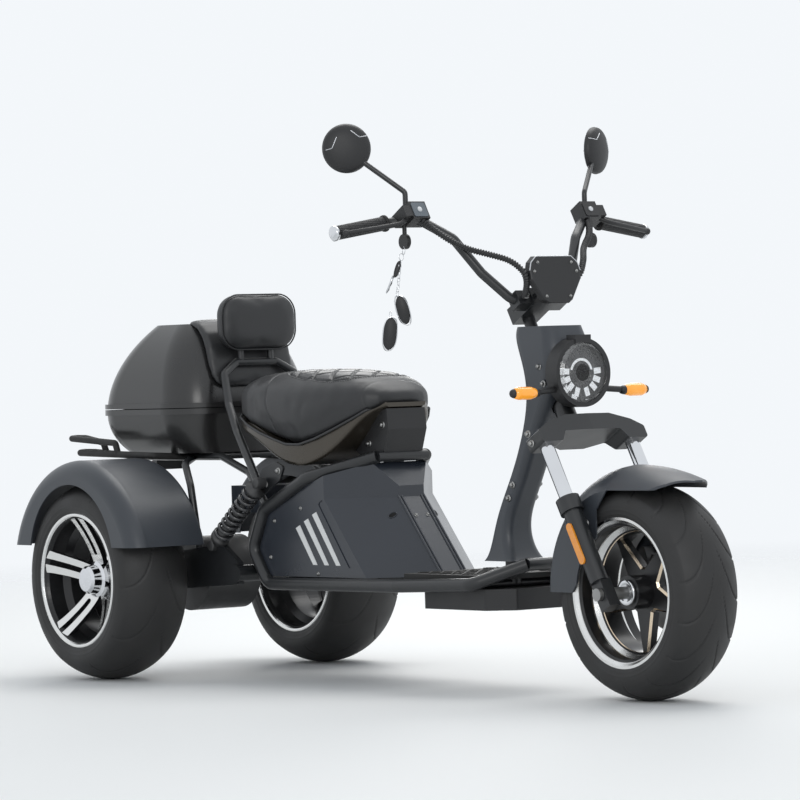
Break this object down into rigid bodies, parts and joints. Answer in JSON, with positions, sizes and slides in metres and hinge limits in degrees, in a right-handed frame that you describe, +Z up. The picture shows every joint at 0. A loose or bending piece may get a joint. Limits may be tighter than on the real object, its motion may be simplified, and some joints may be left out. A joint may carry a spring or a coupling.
{
  "type": "electric three-wheel scooter",
  "caption": "Electric fat-tyre three-wheel scooter: raked fork in front, driven axle behind, saddle with backrest and lidded top box.",
  "frame": {"origin": "centre of the footprint on the ground, half way along the vehicle's length", "axes": "+X forward in the riding direction, +Y to the rider's left, +Z up; steering straight ahead, lid shut"},
  "size_m": [2.254, 0.8854, 1.292],
  "materials": {
    "tyre": "matt black tread rubber",
    "graphite_paint": "satin graphite paint",
    "black_paint": "gloss black paint",
    "rim_alloy": "black cast alloy with machined lips",
    "chrome": "polished chrome",
    "steel": "plated steel",
    "black_plastic": "textured black plastic",
    "gloss_panel": "gloss graphite plastic",
    "bronze_trim": "dark bronze gloss",
    "white_stripe": "white stripe",
    "leather": "stitched black leatherette",
    "rubber": "moulded black rubber",
    "lamp_silver": "mirrored reflector with light blocks",
    "lens_clear": "clear lens",
    "lens_amber": "amber lens",
    "lens_red": "red lamp lens",
    "mirror": "silvered glass"
  },
  "bodies": {
    "chassis": {"backrest_hoop": "black_paint", "backrest_pad": "leather", "battery": "black_plastic", "belly_pan": "black_plastic", "box_hinge_pins": "steel", "box_tub": "gloss_panel", "controller_box": "black_plastic", "footboard": "rubber", "grab_rails": "rubber", "headlight_bucket": "black_plastic", "headlight_lens": "lens_clear", "headlight_unit": "lamp_silver", "luggage_rack": "black_paint", "main_frame": "black_paint", "neck_cover": "graphite_paint", "rear_axle": "steel", "rear_fender_left": "graphite_paint", "rear_fender_right": "graphite_paint", "seat_bracket": "black_plastic", "seat_cushion": "leather", "seat_skirt": "bronze_trim", "shock_absorbers": "steel", "side_panels": "gloss_panel", "side_stripes": "white_stripe", "signal_stalks": "black_plastic", "swing_arm": "black_paint", "tail_lamp": "lens_red", "turn_signals": "lens_amber"},
    "fork": {"bar_clamp": "black_paint", "brake_levers": "black_paint", "cable_conduits": "rubber", "display": "black_plastic", "fork_reflectors": "lens_amber", "fork_sliders": "black_paint", "fork_stanchions": "chrome", "fork_yoke": "black_paint", "front_axle": "steel", "front_caliper": "steel", "front_fender": "graphite_paint", "grips": "rubber", "hand_controls": "black_plastic", "handlebar": "black_paint", "mirror_arm_left": "black_paint", "mirror_arm_right": "black_paint", "mirror_glass_left": "mirror", "mirror_glass_right": "mirror", "mirror_head_left": "black_plastic", "mirror_head_right": "black_plastic"},
    "lid": {"box_lid": "gloss_panel", "lid_pad": "leather"},
    "front_wheel": {"front_disc": "steel", "front_rim": "rim_alloy", "front_tyre": "tyre"},
    "rear_right_wheel": {"rear_cap_right": "chrome", "rear_rim_right": "rim_alloy", "rear_tyre_right": "tyre"},
    "rear_left_wheel": {"rear_cap_left": "chrome", "rear_rim_left": "rim_alloy", "rear_tyre_left": "tyre"}
  },
  "joints": [
    {"name": "steering", "type": "hinge", "parent": "chassis", "child": "fork", "pos_m": [0.85482, 0, 0.2205], "axis": [-0.5, 0, 0.866], "range_deg": [-30, 30]},
    {"name": "front_wheel_spin", "type": "hinge", "parent": "fork", "child": "front_wheel", "pos_m": [0.886, 0, 0.2385], "axis": [0, 1, 0], "continuous": true},
    {"name": "rear_right_wheel_spin", "type": "hinge", "parent": "chassis", "child": "rear_right_wheel", "pos_m": [-0.794, -0.322, 0.246], "axis": [0, 1, 0], "continuous": true},
    {"name": "rear_left_wheel_spin", "type": "hinge", "parent": "chassis", "child": "rear_left_wheel", "pos_m": [-0.794, 0.322, 0.246], "axis": [0, 1, 0], "continuous": true},
    {"name": "lid_hinge", "type": "hinge", "parent": "chassis", "child": "lid", "pos_m": [-1.044, 0, 0.66], "axis": [0, -1, 0], "range_deg": [0, 75]}
  ]
}
